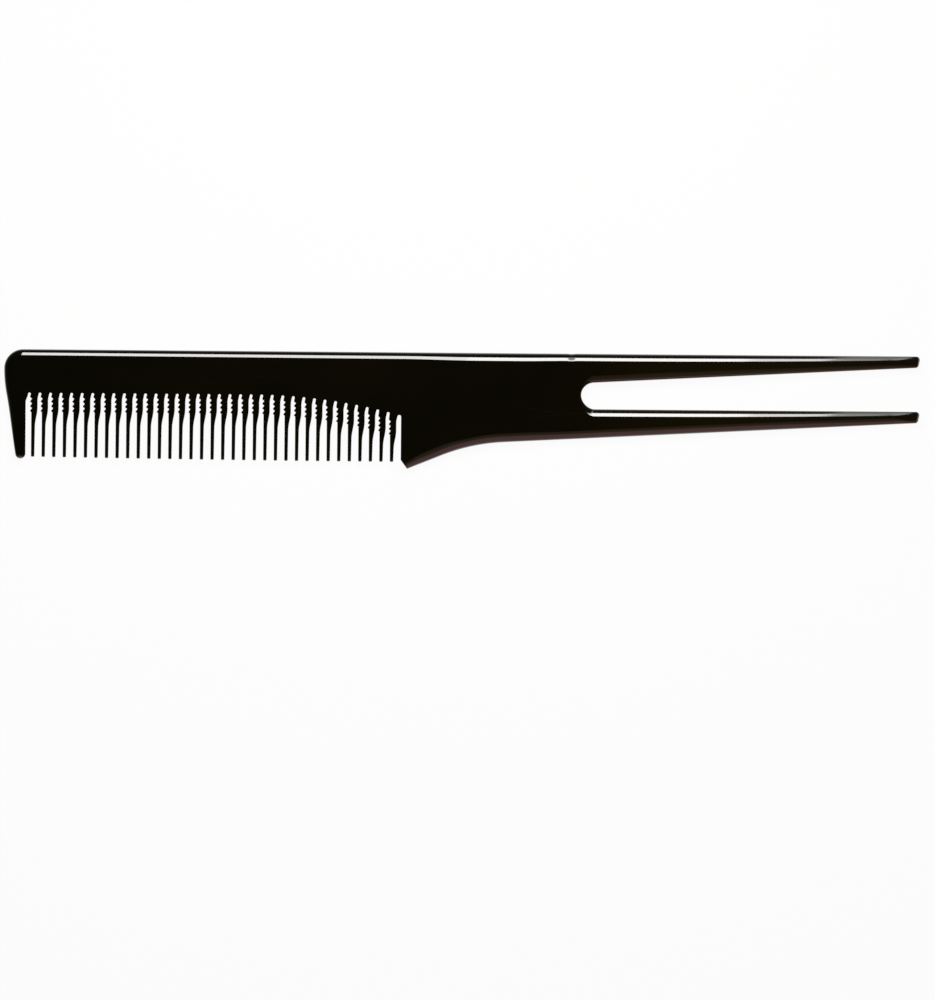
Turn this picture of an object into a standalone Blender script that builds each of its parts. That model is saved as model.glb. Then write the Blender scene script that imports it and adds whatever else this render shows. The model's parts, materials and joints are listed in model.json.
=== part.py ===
"""Fork-tail comb: a moulded salon comb with a row of fine teeth and a tail of two flat prongs.

The comb lies flat with its front face up, its back edge towards +Y and its tail towards +X.
The moulding is built as its named regions, each one closed solid that seats face to face on the next.
Outlines are drawn as (along, depth): along runs from the guard end to the tail, and depth runs
from the back edge to the tooth tips. Both faces are mirror images about the middle of the thickness.
"""

import math

import bmesh
import bpy
from mathutils import Matrix, Vector
from mathutils.geometry import intersect_point_line

MM = 0.001

# Whole comb
THICKNESS = 4.0 * MM  # middle of the shank, thickest of all
GUARD_END_THICKNESS = 3.0 * MM
HEEL_THICKNESS = 3.4 * MM
FORK_THICKNESS = 3.7 * MM  # where the prongs leave the shank
EDGE_LAND = 0.3 * MM  # narrow flat between the two rounded halves of the outer edge, at full thickness
GAP_CHAMFER = 0.12 * MM  # eased edge on the teeth and in the gaps between them
SEAT_GAP = 0.02 * MM  # clearance between one region and the next

# Spine
END_CORNER_RADIUS = 4.4 * MM
END_LEAN = 0.57 * MM  # how far the free end leans in by the foot of the spine
ROOT_DEPTH = 10.0 * MM  # back edge to the tops of the tooth gaps, where the root line is straight
ROOT_BEND_LENGTH = 34.1 * MM  # last stretch before the heel, where the root line bends down
ROOT_BEND_RADIUS = 130.0 * MM

# Fine teeth
TOOTH_COUNT = 35
TOOTH_PITCH = 2.424 * MM
TOOTH_LENGTH = 14.95 * MM  # gap tops to tips, where the root line is straight
FIRST_TOOTH_RISE = 0.4 * MM  # the row's tips climb by this much towards the guard tooth
TIP_RISE_SPAN = 24.0 * MM
TOOTH_ROOT_WIDTH = 1.6 * MM
TOOTH_BLOCK_WIDTH = 1.39 * MM
TOOTH_SHAFT_WIDTH = 0.95 * MM
TOOTH_TIP_WIDTH = 0.86 * MM
TOOTH_SHAFT_STEP = 0.12 * MM  # how far the shaft stands out past the valleys of the saw edge
ROOT_FLARE_LENGTH = 1.6 * MM
TOOTH_BLOCK_LENGTH = 3.1 * MM
TOOTH_WAIST_LENGTH = 4.4 * MM  # the sweep from the root block down to the slim shaft
TOOTH_TIP_THICKNESS = 1.4 * MM
SERRATION_PITCH = 1.08 * MM
SERRATION_HEIGHT = 0.42 * MM
LAST_SERRATION = 3.9 * MM  # seat to the lowest point of the saw edge
LEAST_SERRATION = 0.1 * MM  # a point nearer the seat than this is left out
SERRATION_FALL = 0.38  # share of the pitch taken by the short side of each point

# End guard tooth
GUARD_WIDTH = 5.05 * MM  # free end to its straight inner side
FIRST_GAP_WIDTH = 1.36 * MM  # from there to the straight flank of the first tooth
GUARD_FLARE_LENGTH = 2.4 * MM
GUARD_TIP_WIDTH = 2.35 * MM
GUARD_TIP_THICKNESS = 1.8 * MM

# Shank and heel
SHANK_LENGTH = 44.4 * MM  # heel edge to the centre of the slot's round end
HEEL_REACH = 1.85 * MM  # how far the heel stands out past the tooth tips
HEEL_CUT_LENGTH = 1.5 * MM
HEEL_CUT_HEIGHT = 2.05 * MM
HEEL_BEND = 15.6 * MM  # heel edge to where the heel's slope meets the underside
HEEL_BEND_RADIUS = 45.0 * MM
REST_LENGTH = 10.0 * MM  # flat middle of the shank, which the comb lies on

# Fork
FORK_LENGTH = 74.65 * MM  # centre of the slot's round end to the prong tips
PRONG_PITCH = 12.8 * MM  # top edge of one prong to top edge of the other
PRONG_ROOT_WIDTH = 6.45 * MM
PRONG_TIP_WIDTH = 2.4 * MM
PRONG_TIP_THICKNESS = 1.8 * MM

# Blunt tips of the guard tooth and the prongs
TIP_NOSE = 0.4  # share of the thickness left at the very end

# Fineness of round stretches
ARC_STEP = math.radians(12)
SMALL_ARC_STEP = math.radians(30)  # tooth tips and gap tops
EDGE_STEPS = 4
TIP_ANGLES = [math.radians(angle) for angle in (0, 25, 50, 70, 84)]
WAIST_STEPS = 5
FLARE_STEPS = 3
CROWN_STEPS = 4  # on each side of the flat middle of the shank
PRONG_STEPS = 6
ARC_PROFILE = 0.5  # a bevel's profile when it is a true arc
SHARP_ANGLE = math.radians(35)  # a fold steeper than this stays a crisp line

# Places that follow from the sizes above
FIRST_FLANK = GUARD_WIDTH + FIRST_GAP_WIDTH
HEEL_EDGE = FIRST_FLANK + TOOTH_COUNT * TOOTH_PITCH
FORK_ROOT = HEEL_EDGE + SHANK_LENGTH
LENGTH = FORK_ROOT + FORK_LENGTH
ROOT_BEND_START = HEEL_EDGE - ROOT_BEND_LENGTH
TIP_DEPTH = ROOT_DEPTH + TOOTH_LENGTH
HEEL_DEPTH = TIP_DEPTH + HEEL_REACH
REST_START = HEEL_EDGE + (SHANK_LENGTH - REST_LENGTH) / 2
REST_END = REST_START + REST_LENGTH
SLOT_RADIUS = (PRONG_PITCH - PRONG_ROOT_WIDTH) / 2
TOOTH_LEFT_REACH = SERRATION_HEIGHT / 2
GAP_TOP_WIDTH = TOOTH_PITCH - TOOTH_ROOT_WIDTH - TOOTH_LEFT_REACH
EDGE_ROUND = (THICKNESS - EDGE_LAND) / 2
EDGE_REACH = 1.1 * EDGE_ROUND  # the rounding stretches a little where it ends askew, at the heel
FORK_LEVEL = FORK_ROOT - SLOT_RADIUS - EDGE_REACH  # the crown ends here, clear of the slot's rounding
PRONG_SLOPE = (PRONG_ROOT_WIDTH - PRONG_TIP_WIDTH) / FORK_LENGTH
TOUCH = 1e-6


def blend(start, end, share):
    return start + (end - start) * share


def smooth(share):
    """A share from 0 to 1 that starts and ends gently."""
    return share * share * (3 - 2 * share)


def arc(centre, radius, start, sweep, step_angle=ARC_STEP):
    """Points of an arc in the (along, depth) plane, both ends included."""
    steps = max(2, round(abs(sweep) / step_angle))
    angles = [start + sweep * step / steps for step in range(steps + 1)]
    return [
        (centre[0] + radius * math.cos(angle), centre[1] + radius * math.sin(angle))
        for angle in angles
    ]


def fillet(before, corner, after, radius):
    """The arc that rounds a corner between two straight stretches."""
    corner = Vector(corner)
    back = (Vector(before) - corner).normalized()
    ahead = (Vector(after) - corner).normalized()
    half = back.angle(ahead) / 2
    centre = corner + (back + ahead).normalized() * radius / math.sin(half)
    spoke = corner + back * radius / math.tan(half) - centre
    turn = math.pi - 2 * half
    if back.x * ahead.y - back.y * ahead.x > 0:
        turn = -turn
    return arc(centre, radius, math.atan2(spoke.y, spoke.x), turn)


def root_depth(along):
    """Depth of the line that the tops of the tooth gaps follow."""
    past = max(0.0, along - ROOT_BEND_START)
    return ROOT_DEPTH + ROOT_BEND_RADIUS - math.sqrt(ROOT_BEND_RADIUS**2 - past**2)


def flank(number):
    """Where the straight flank of a tooth stands, counted from 1."""
    return FIRST_FLANK + (number - 1) * TOOTH_PITCH


def gap_ends(number):
    """Left side, right side and foot depth of the rounded top of the gap after a tooth.

    Gap 0 lies beside the guard tooth and the last gap beside the heel.
    """
    right = flank(number + 1) - TOOTH_LEFT_REACH
    left = right - GAP_TOP_WIDTH
    if number == TOOTH_COUNT:
        right = HEEL_EDGE - SEAT_GAP
    radius = (right - left) / 2
    return left, right, root_depth(left + radius) + radius


def gap_top(number):
    left, right, foot = gap_ends(number)
    radius = (right - left) / 2
    return arc((left + radius, foot), radius, math.pi, math.pi, SMALL_ARC_STEP)


def body_thickness(along):
    """Thickness between the faces: thin at the free end, crowned at the shank, thin at the prong tips."""
    if along < HEEL_EDGE:
        return blend(GUARD_END_THICKNESS, HEEL_THICKNESS, along / HEEL_EDGE)
    if along < REST_START:
        return blend(HEEL_THICKNESS, THICKNESS, smooth((along - HEEL_EDGE) / (REST_START - HEEL_EDGE)))
    if along < REST_END:
        return THICKNESS
    if along < FORK_LEVEL:
        return blend(THICKNESS, FORK_THICKNESS, smooth((along - REST_END) / (FORK_LEVEL - REST_END)))
    past_root = max(0.0, along - FORK_ROOT)
    return blend(FORK_THICKNESS, PRONG_TIP_THICKNESS, (past_root / FORK_LENGTH) ** 2)


def plate(outline):
    """The outline filled and extruded to the full thickness, as a mesh with one face on each side."""
    curve = bpy.data.curves.new("outline", "CURVE")
    curve.dimensions = "2D"
    curve.fill_mode = "BOTH"
    curve.extrude = THICKNESS / 2
    spline = curve.splines.new("POLY")
    spline.points.add(len(outline) - 1)
    for point, (along, depth) in zip(spline.points, outline):
        point.co = (along, -depth, 0, 1)
    spline.use_cyclic_u = True
    drawn = bpy.data.objects.new("outline", curve)
    bpy.context.scene.collection.objects.link(drawn)
    graph = bpy.context.evaluated_depsgraph_get()
    mesh = bpy.data.meshes.new_from_object(drawn.evaluated_get(graph))
    shape = bmesh.new()
    shape.from_mesh(mesh)
    bpy.data.objects.remove(drawn)
    bpy.data.curves.remove(curve)
    bpy.data.meshes.remove(mesh)
    bmesh.ops.remove_doubles(shape, verts=shape.verts, dist=TOUCH)
    for side in (1, -1):
        cap = [face for face in shape.faces if all(vertex.co.z * side > 0 for vertex in face.verts)]
        bmesh.ops.dissolve_faces(shape, faces=cap)
    bmesh.ops.recalc_face_normals(shape, faces=shape.faces)
    return shape


def lies_on(edge, seat):
    """Whether both ends of an edge lie on the straight line of a seat, between its ends."""
    start, end = (Vector((along, -depth)) for along, depth in seat)
    direction = (end - start).normalized()
    for vertex in edge.verts:
        offset = vertex.co.xy - start
        if abs(direction.cross(offset)) > TOUCH:
            return False
        if not -TOUCH < direction.dot(offset) < (end - start).length + TOUCH:
            return False
    return True


def free_rims(shape, seats):
    """The sharp edges round both faces of a plate, apart from those where a neighbour seats."""
    level = [edge for edge in shape.edges if abs(edge.verts[0].co.z - edge.verts[1].co.z) < TOUCH]
    sharp = [edge for edge in level if edge.calc_face_angle() > SHARP_ANGLE]
    return [edge for edge in sharp if not any(lies_on(edge, seat) for seat in seats)]


def ease(shape, edges, size, segments):
    bmesh.ops.bevel(
        shape,
        geom=edges,
        offset=size,
        offset_type="OFFSET",
        segments=segments,
        profile=ARC_PROFILE,
        affect="EDGES",
        clamp_overlap=False,
    )


def cut_across(shape, places):
    """Divides a plate at places along the comb, so that its faces can follow a curve."""
    for along in places:
        whole = [*shape.verts, *shape.edges, *shape.faces]
        bmesh.ops.bisect_plane(shape, geom=whole, dist=TOUCH, plane_co=(along, 0, 0), plane_no=(1, 0, 0))


def thin(shape, thickness_at):
    """Draws both faces in to the thickness that each place has."""
    for vertex in shape.verts:
        vertex.co.z *= thickness_at(vertex.co.x, -vertex.co.y) / THICKNESS


def thin_body(shape, outer_edges):
    """Thins a plate and narrows the rounding along its outer edges in the same measure."""
    thin(shape, lambda along, depth: body_thickness(along))
    legs = [leg for edge in outer_edges for leg in zip(edge, edge[1:])]
    for vertex in shape.verts:
        place = Vector((vertex.co.x, -vertex.co.y))
        feet = []
        for start, end in legs:
            foot, share = intersect_point_line(place, start, end)
            feet.append(Vector(start) if share < 0 else Vector(end) if share > 1 else foot.xy)
        foot = min(feet, key=lambda point: (place - point).length)
        if (place - foot).length < EDGE_REACH:
            place = foot + (place - foot) * body_thickness(foot.x) / THICKNESS
            vertex.co.xy = place.x, -place.y


def bar_section(first, last, round_first, round_last):
    """Ring of (across, height) round a flat bar between two edges, each rounded to its own size."""
    quarter = [math.pi / 2 * step / EDGE_STEPS for step in range(EDGE_STEPS + 1)]
    rise = [EDGE_LAND / 2 + EDGE_ROUND * math.sin(angle) for angle in quarter]
    near = [first + round_first * (1 - math.cos(angle)) for angle in quarter]
    far = [last - round_last * (1 - math.cos(angle)) for angle in quarter]
    top = list(zip(near, rise)) + list(zip(far, rise))[::-1]
    return top + [(across, -height) for across, height in reversed(top)]


def loft(rings):
    """A closed skin through rings of equal count, with a face over each end."""
    shape = bmesh.new()
    loops = [[shape.verts.new(point) for point in ring] for ring in rings]
    for lower, upper in zip(loops, loops[1:]):
        for index in range(len(lower)):
            after = (index + 1) % len(lower)
            shape.faces.new((lower[index], lower[after], upper[after], upper[index]))
    shape.faces.new(loops[0])
    shape.faces.new(loops[-1])
    bmesh.ops.recalc_face_normals(shape, faces=shape.faces)
    return shape


def tip_shape(angle):
    """Share of the length, width and thickness left at an angle round a blunt tip."""
    reach = math.sin(angle) / math.sin(TIP_ANGLES[-1])
    return reach, math.cos(angle), blend(TIP_NOSE, 1.0, math.cos(angle))


def spine():
    guard_seat = ((END_LEAN, gap_ends(0)[2]), (gap_ends(0)[0], gap_ends(0)[2]))
    shank_seat = ((HEEL_EDGE - SEAT_GAP, gap_ends(TOOTH_COUNT)[2]), (HEEL_EDGE - SEAT_GAP, 0.0))
    corner = fillet((HEEL_EDGE, 0.0), (0.0, 0.0), (0.0, ROOT_DEPTH), END_CORNER_RADIUS)
    back_edge = [shank_seat[1], *corner, guard_seat[0]]
    outline = list(back_edge)
    seats = [guard_seat, shank_seat]
    for number in range(TOOTH_COUNT + 1):
        outline += gap_top(number)
        if number < TOOTH_COUNT:
            seats.append((gap_top(number)[-1], gap_top(number + 1)[0]))
    shape = plate(outline)
    rims = free_rims(shape, seats)
    in_gap = [edge for edge in rims if min(-vertex.co.y for vertex in edge.verts) > ROOT_DEPTH - TOUCH]
    ease(shape, [edge for edge in rims if edge not in in_gap], EDGE_ROUND, EDGE_STEPS)
    thin_body(shape, [back_edge])
    ease(shape, in_gap, GAP_CHAMFER, 1)
    return shape


def saw_edge(drop):
    """Points of the serrated flank, as distance out from the straight flank and distance below the seat."""
    points = []
    peak = LAST_SERRATION + drop
    foot = -TOOTH_SHAFT_STEP
    while peak > LEAST_SERRATION:
        points = [(-SERRATION_HEIGHT, peak), (foot, peak + SERRATION_FALL * SERRATION_PITCH)] + points
        foot = 0.0
        peak -= SERRATION_PITCH
    return points


def smooth_flank():
    """Points of the plain flank below its seat: a flared root, a block, a waist and the shaft."""
    points = []
    for step in range(1, FLARE_STEPS + 1):
        share = step / FLARE_STEPS
        drawn_in = math.sin(math.pi / 2 * share)
        width = blend(TOOTH_ROOT_WIDTH, TOOTH_BLOCK_WIDTH, drawn_in)
        points.append((width, share * ROOT_FLARE_LENGTH))
    for step in range(WAIST_STEPS + 1):
        share = step / WAIST_STEPS
        drawn_in = (1 - math.cos(math.pi * share)) / 2
        width = blend(TOOTH_BLOCK_WIDTH, TOOTH_SHAFT_WIDTH - TOOTH_SHAFT_STEP, drawn_in)
        points.append((width, TOOTH_BLOCK_LENGTH + share * TOOTH_WAIST_LENGTH))
    return points


def tooth(number):
    left = gap_top(number - 1)[-1]
    right = gap_top(number)[0]
    drop = right[1] - left[1]
    rise = FIRST_TOOTH_RISE * max(0.0, 1 - flank(number) / TIP_RISE_SPAN) ** 2
    tip_depth = TIP_DEPTH - rise
    seat = ((left[0], left[1] + SEAT_GAP), (right[0], right[1] + SEAT_GAP))
    radius = TOOTH_TIP_WIDTH / 2
    outline = [seat[0]]
    outline += [(flank(number) + out, left[1] + below) for out, below in saw_edge(drop)]
    tip_centre = (flank(number) - TOOTH_SHAFT_STEP + radius, tip_depth - radius)
    outline += arc(tip_centre, radius, math.pi, -math.pi, SMALL_ARC_STEP)
    sweep = [(flank(number) + out, right[1] + below) for out, below in smooth_flank()]
    outline += sweep[::-1] + [seat[1]]

    def tooth_thickness(along, depth):
        share = max(0.0, (depth - seat[1][1]) / (tip_depth - seat[1][1]))
        return blend(body_thickness(along), TOOTH_TIP_THICKNESS, share)

    shape = plate(outline)
    rims = free_rims(shape, [seat])
    thin(shape, tooth_thickness)
    ease(shape, rims, GAP_CHAMFER, 1)
    return shape, (flank(number), left[1])


def end_guard_tooth():
    inner_root, _, seat_depth = gap_ends(0)
    top = seat_depth + SEAT_GAP
    tip_start = TIP_DEPTH - GUARD_TIP_WIDTH / 2
    root_width = inner_root - END_LEAN

    def edges_at(depth):
        """Outer and inner side of the tooth at a depth above its blunt tip."""
        outer = blend(END_LEAN, GUARD_WIDTH - GUARD_TIP_WIDTH, (depth - top) / (tip_start - top))
        flare = max(0.0, 1 - (depth - top) / GUARD_FLARE_LENGTH) ** 2
        return outer, blend(GUARD_WIDTH, inner_root, flare)

    flare_depths = [top + GUARD_FLARE_LENGTH * step / FLARE_STEPS for step in range(FLARE_STEPS + 1)]
    places = [(depth, *edges_at(depth), 1.0) for depth in flare_depths]
    outer, inner = edges_at(tip_start)
    middle = (outer + inner) / 2
    for angle in TIP_ANGLES:
        reach, width, height = tip_shape(angle)
        half = (inner - outer) / 2 * width
        places.append((blend(tip_start, TIP_DEPTH, reach), middle - half, middle + half, height))
    rings = []
    for depth, outer, inner, height in places:
        rounding = EDGE_ROUND * GUARD_END_THICKNESS / THICKNESS * (inner - outer) / root_width
        section = bar_section(outer, inner, rounding, GAP_CHAMFER)
        rings.append([(across, -depth, up * height) for across, up in section])

    def guard_thickness(along, depth):
        share = (depth - top) / (TIP_DEPTH - top)
        return blend(body_thickness(along), GUARD_TIP_THICKNESS, share)

    shape = loft(rings)
    thin(shape, guard_thickness)
    return shape


def shank():
    foot = gap_ends(TOOTH_COUNT)[2]
    underside = PRONG_PITCH + PRONG_ROOT_WIDTH
    bend = HEEL_EDGE + HEEL_BEND
    heel_tip = (HEEL_EDGE + HEEL_CUT_LENGTH, HEEL_DEPTH)
    heel_corner = (HEEL_EDGE, HEEL_DEPTH - HEEL_CUT_HEIGHT)
    bend_corner = (bend, underside + PRONG_SLOPE * (FORK_ROOT - bend))
    back_edge = [(HEEL_EDGE, 0.0), (FORK_ROOT, 0.0)]
    slot_end = arc((FORK_ROOT, PRONG_ROOT_WIDTH + SLOT_RADIUS), SLOT_RADIUS, -math.pi / 2, -math.pi)
    bend_arc = fillet((FORK_ROOT, underside), bend_corner, heel_tip, HEEL_BEND_RADIUS)
    lower_edge = [(FORK_ROOT, underside), *bend_arc, heel_tip]
    outline = back_edge + slot_end + lower_edge
    outline += [heel_corner, (HEEL_EDGE, foot), (HEEL_EDGE, foot - GAP_CHAMFER)]
    seats = [
        ((HEEL_EDGE, 0.0), (HEEL_EDGE, foot)),
        ((FORK_ROOT, 0.0), (FORK_ROOT, PRONG_ROOT_WIDTH)),
        ((FORK_ROOT, PRONG_PITCH), (FORK_ROOT, underside)),
    ]
    crown = [blend(HEEL_EDGE, REST_START, step / CROWN_STEPS) for step in range(1, CROWN_STEPS + 1)]
    crown += [blend(REST_END, FORK_LEVEL, step / CROWN_STEPS) for step in range(CROWN_STEPS + 1)]
    shape = plate(outline)
    cut_across(shape, crown)
    heel_side = [((HEEL_EDGE, foot), heel_corner), (heel_corner, heel_tip)]
    rims = free_rims(shape, seats)
    outer = [edge for edge in rims if not any(lies_on(edge, side) for side in heel_side)]
    ease(shape, outer, EDGE_ROUND, EDGE_STEPS)
    rims = free_rims(shape, seats)
    ease(shape, [edge for edge in rims if any(lies_on(edge, side) for side in heel_side)], GAP_CHAMFER, 1)
    thin_body(shape, [back_edge, slot_end, lower_edge])
    return shape


def prong():
    """The upper prong. The lower one is the same shape, one prong pitch further down."""
    tip_start = LENGTH - PRONG_TIP_WIDTH / 2

    def width_at(along):
        return PRONG_ROOT_WIDTH - PRONG_SLOPE * (along - FORK_ROOT)

    straight = [blend(FORK_ROOT + SEAT_GAP, tip_start, step / PRONG_STEPS) for step in range(PRONG_STEPS)]
    places = [(along, 0.0, width_at(along), 1.0) for along in straight]
    middle = width_at(tip_start) / 2
    for angle in TIP_ANGLES:
        reach, width, height = tip_shape(angle)
        half = middle * width
        places.append((blend(tip_start, LENGTH, reach), middle - half, middle + half, height))
    rings = []
    for along, first, last, height in places:
        slimming = min(1.0, (last - first) / PRONG_TIP_WIDTH)
        rounding = EDGE_ROUND * body_thickness(along) / THICKNESS * slimming
        section = bar_section(first, last, rounding, rounding)
        rings.append([(along, -across, up * height) for across, up in section])
    shape = loft(rings)
    thin(shape, lambda along, depth: body_thickness(along))
    return shape


def black_plastic():
    material = bpy.data.materials.new("black_plastic")
    material.use_nodes = True
    shader = material.node_tree.nodes["Principled BSDF"]
    shader.inputs["Base Color"].default_value = (0.008, 0.006, 0.004, 1.0)
    shader.inputs["Roughness"].default_value = 0.16
    shader.inputs["Metallic"].default_value = 0.0
    return material


def finish(shape, name, origin, material):
    """Turns a shape drawn from the back edge's datum into a mesh about its own origin."""
    shape.transform(Matrix.Translation((-origin[0], origin[1], 0.0)))
    mesh = bpy.data.meshes.new(name)
    shape.to_mesh(mesh)
    shape.free()
    mesh.shade_smooth()
    mesh.set_sharp_from_angle(angle=SHARP_ANGLE)
    mesh.materials.append(material)
    return mesh


def place(name, mesh, origin, datum, collection):
    piece = bpy.data.objects.new(name, mesh)
    piece.location = (origin[0], -origin[1], 0.0)
    piece.parent = datum
    collection.objects.link(piece)


def main():
    for item in list(bpy.data.objects):
        bpy.data.objects.remove(item)
    comb = bpy.data.collections.new("fork_tail_comb")
    bpy.context.scene.collection.children.link(comb)
    datum = bpy.data.objects.new("back_edge_datum", None)
    datum.location = (-LENGTH / 2, HEEL_DEPTH / 2, THICKNESS / 2)
    comb.objects.link(datum)
    plastic = black_plastic()

    free_end = (0.0, 0.0)
    place("spine", finish(spine(), "spine", free_end, plastic), free_end, datum, comb)
    guard_top = (0.0, gap_ends(0)[2])
    guard = finish(end_guard_tooth(), "end_guard_tooth", guard_top, plastic)
    place("end_guard_tooth", guard, guard_top, datum, comb)
    for number in range(1, TOOTH_COUNT + 1):
        name = f"tooth_{number:02d}"
        shape, root = tooth(number)
        place(name, finish(shape, name, root, plastic), root, datum, comb)
    heel = (HEEL_EDGE, 0.0)
    place("shank", finish(shank(), "shank", heel, plastic), heel, datum, comb)
    fork = (FORK_ROOT, 0.0)
    prong_mesh = finish(prong(), "prong", fork, plastic)
    place("upper_prong", prong_mesh, fork, datum, comb)
    place("lower_prong", prong_mesh, (FORK_ROOT, PRONG_PITCH), datum, comb)


main()
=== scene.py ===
import json
import math

import bmesh
import bpy
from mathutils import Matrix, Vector

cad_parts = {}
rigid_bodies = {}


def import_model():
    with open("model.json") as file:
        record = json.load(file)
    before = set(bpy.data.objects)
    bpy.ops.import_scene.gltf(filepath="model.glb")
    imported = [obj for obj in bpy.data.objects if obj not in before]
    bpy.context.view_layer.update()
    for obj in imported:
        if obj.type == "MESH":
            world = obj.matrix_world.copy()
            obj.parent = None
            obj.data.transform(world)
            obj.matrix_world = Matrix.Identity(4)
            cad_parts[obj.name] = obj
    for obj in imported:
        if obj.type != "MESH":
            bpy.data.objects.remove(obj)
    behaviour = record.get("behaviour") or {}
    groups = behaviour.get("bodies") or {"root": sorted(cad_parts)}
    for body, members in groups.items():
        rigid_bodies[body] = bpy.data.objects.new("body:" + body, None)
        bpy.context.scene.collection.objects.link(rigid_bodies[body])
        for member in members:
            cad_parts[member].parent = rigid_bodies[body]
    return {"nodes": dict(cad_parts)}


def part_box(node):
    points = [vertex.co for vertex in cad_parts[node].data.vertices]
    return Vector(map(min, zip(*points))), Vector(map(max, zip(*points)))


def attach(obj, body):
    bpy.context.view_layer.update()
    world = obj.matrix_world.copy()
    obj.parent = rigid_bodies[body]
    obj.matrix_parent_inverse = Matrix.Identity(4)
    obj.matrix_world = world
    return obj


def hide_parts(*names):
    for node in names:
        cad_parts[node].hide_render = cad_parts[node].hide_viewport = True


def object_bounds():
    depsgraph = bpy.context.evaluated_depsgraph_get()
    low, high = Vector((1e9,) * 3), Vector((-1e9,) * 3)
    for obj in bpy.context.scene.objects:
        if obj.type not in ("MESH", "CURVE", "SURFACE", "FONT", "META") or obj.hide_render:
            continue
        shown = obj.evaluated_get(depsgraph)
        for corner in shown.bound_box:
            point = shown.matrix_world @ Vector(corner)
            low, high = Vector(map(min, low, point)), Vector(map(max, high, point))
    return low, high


for leftover in list(bpy.data.objects):
    bpy.data.objects.remove(leftover)
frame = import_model()
cad_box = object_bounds()

MM = 0.001

# Places that the frame gives. Outlines are drawn as (along, depth): along runs from the free end
# to the prong tips, and depth from the back edge to the tooth tips.
spine_low, spine_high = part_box("spine")
guard_low, guard_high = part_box("end_guard_tooth")
shank_low, shank_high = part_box("shank")
upper_low, upper_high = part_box("upper_prong")
_, lower_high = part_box("lower_prong")
tooth_nodes = sorted(name for name in frame["nodes"] if name.startswith("tooth_"))
first_low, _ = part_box(tooth_nodes[0])
second_low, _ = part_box(tooth_nodes[1])

FREE_END = spine_low.x
BACK_EDGE = spine_high.y
MIDDLE = (shank_low.z + shank_high.z) / 2
THICKNESS = shank_high.z - shank_low.z
GUARD_THICKNESS = guard_high.z - guard_low.z
HEEL_THICKNESS = spine_high.z - spine_low.z
FORK_THICKNESS = upper_high.z - upper_low.z
HEEL_EDGE = shank_low.x - FREE_END
FORK_ROOT = shank_high.x - FREE_END
LENGTH = upper_high.x - FREE_END
TIP_DEPTH = BACK_EDGE - guard_low.y
HEEL_DEPTH = BACK_EDGE - shank_low.y
TOOTH_COUNT = len(tooth_nodes)
TOOTH_PITCH = second_low.x - first_low.x

# Moulded edges. A profile runs from the face to the side: share of the reach left, tilt in degrees.
ROUND_EDGE = ((1.0, 0), (0.96, 8), (0.42, 24), (0.07, 50), (0.0, 90))
BEVEL_EDGE = ((1.0, 0), (0.76, 26), (0.46, 36), (0.08, 44), (0.0, 90))
PROFILE_STEPS = (2, 4, 4, 4)
EDGE_REACH = 1.85 * MM  # how far in the rounding goes where the comb is thickest
BEVEL_REACH = 1.16  # the flatter bevel along the underside goes this many times as far
SIDE_DRAFT = 0.03 * MM  # the side leans in by this much between the parting line and the rounding
PARTING_RIDGE = 0.02 * MM  # how far the parting line stands out
PARTING_HALF = 0.05 * MM  # half the height of its ridge
PARTING_ROOM = 0.25 * MM  # least half height of the side
GAP_ROUND = 0.14 * MM  # small rounding in the tooth gaps
FACE_MARGIN = 0.06 * MM  # flat strip that keeps the faces level up to the rounding
TIP_NOSE = 0.55  # share of the thickness left at the very end of a blunt tip
SHARP_ANGLE = math.radians(40)  # an edge that turns by more than this stays crisp
LEAST_STEP = 0.001 * MM  # points of an outline that lie nearer together are one
CUT_TOLERANCE = 0.0001 * MM  # points this near to a cut lie on it

# Spine and guard tooth
END_CORNER_RADIUS = 4.4 * MM
END_LEAN = 0.57 * MM  # how far the free end leans in above the guard tooth
ROOT_DEPTH = 10.0 * MM
ROOT_BEND_LENGTH = 34.1 * MM
ROOT_BEND_RADIUS = 130.0 * MM
GUARD_WIDTH = 5.05 * MM
GUARD_FLARE_LENGTH = 1.8 * MM
GUARD_TIP_WIDTH = 2.35 * MM
GUARD_EXTRA = 0.2 * MM  # the finished guard tooth reaches this much deeper than its solid
GUARD_TIP_THICKNESS = 1.8 * MM
GUARD_TIP_SLOPE = 0.17  # lean of the outer side just above the tip
GUARD_TIP_REACH = 0.66  # rounding of the outer side at the tip, as a share of the tip's radius
GUARD_REACH_SPAN = 0.9  # share of the tip's radius over which the rounding grows round the tip

# Fine teeth
SERRATION_HEIGHT = 0.42 * MM
SERRATION_PITCH = 1.08 * MM
SERRATION_FALL = 0.375  # share of the pitch taken by the short side of each point
LAST_SERRATION = 3.9 * MM  # depth of the last point below the gap top
LEAST_SERRATION = 0.4 * MM  # no point lies nearer to the gap top
SAW_SOFTNESS = 0.45  # 0 gives straight sides to the points, and 1 fully rounded ones
ROOT_WIDTH = 1.6 * MM
BLOCK_WIDTH = 1.39 * MM
SHAFT_WIDTH = 0.95 * MM
TIP_WIDTH = 0.86 * MM
SHAFT_STEP = 0.12 * MM  # how far the shaft stands out past the valleys of the saw edge
ROOT_FLARE_LENGTH = 1.6 * MM
BLOCK_LENGTH = 3.1 * MM
WAIST_LENGTH = 4.4 * MM
TOOTH_TIP_THICKNESS = 1.4 * MM
ROW_EXTRA = 0.27 * MM  # the last teeth reach this much deeper than the guard tooth's solid
TIP_RISE = 0.58 * MM  # the row's tips climb by this much towards the guard tooth
TIP_RISE_SPAN = 90.0 * MM
SEAT_BLEND = 2.4 * MM  # the slope of the seat fades out over this length
TOOTH_DRAFT = 0.04 * MM  # a tooth is this much slimmer at its faces than at the parting line
DRAFT_LENGTH = 1.0 * MM  # the draft grows over this length
DRAFT_LIMIT = 0.1  # most that the draft takes of half the width
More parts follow.
